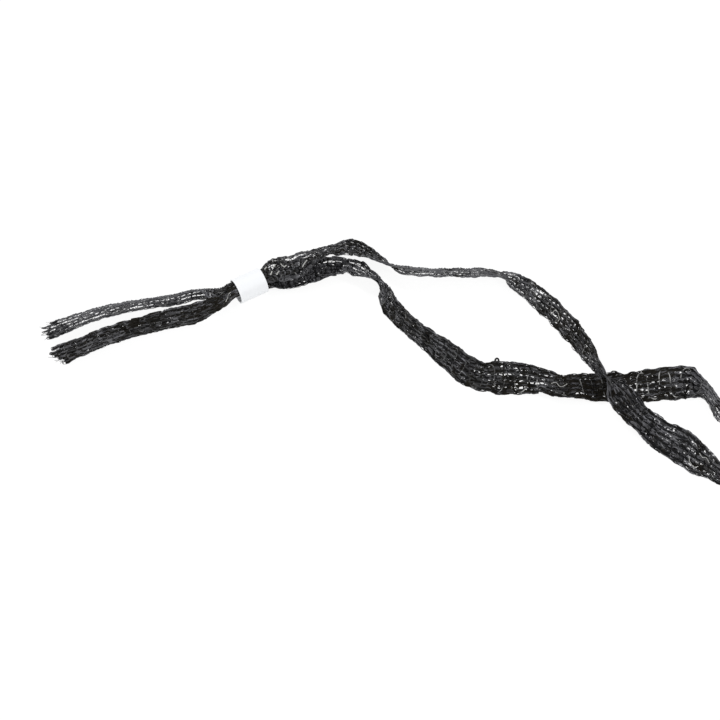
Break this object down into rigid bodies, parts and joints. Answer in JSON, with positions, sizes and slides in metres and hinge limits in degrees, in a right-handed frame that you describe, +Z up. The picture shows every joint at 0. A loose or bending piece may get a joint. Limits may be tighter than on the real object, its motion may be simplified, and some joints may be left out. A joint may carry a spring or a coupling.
{
  "type": "net tie loop",
  "caption": "Flat knitted tie tape doubled into a loop, its frayed tails drawn through a short sliding tube collar that cinches the hem or bag of a net.",
  "frame": {"origin": "centre of the bounding box, on the plane that the tie lies on", "axes": "+X from the cut tails towards the loop's closed end, +Y to the side the upper run lies on, +Z up off the plane"},
  "size_m": [0.2843, 0.1118, 0.013],
  "materials": {
    "black_knit": "warp-knitted black polyethylene tape yarn, glossy yarns in an open matte knit, cut ends frayed",
    "white_plastic": "smooth satin white extruded plastic tube, cut square"
  },
  "bodies": {
    "tape": {"upper_tail": "black_knit", "upper_gather": "black_knit", "upper_neck": "black_knit", "upper_arch": "black_knit", "upper_edge_run": "black_knit", "upper_slope": "black_knit", "upper_return": "black_knit", "loop_end": "black_knit", "lower_return": "black_knit", "lower_flat": "black_knit", "lower_slope": "black_knit", "lower_arch": "black_knit", "lower_neck": "black_knit", "lower_gather": "black_knit", "lower_tail": "black_knit"},
    "collar": {"collar": "white_plastic"}
  },
  "joints": [
    {"name": "collar_slide", "type": "slide", "parent": "tape", "child": "collar", "axis": [-0.8813, -0.4726, 0], "range_m": [0, 0.005]}
  ]
}
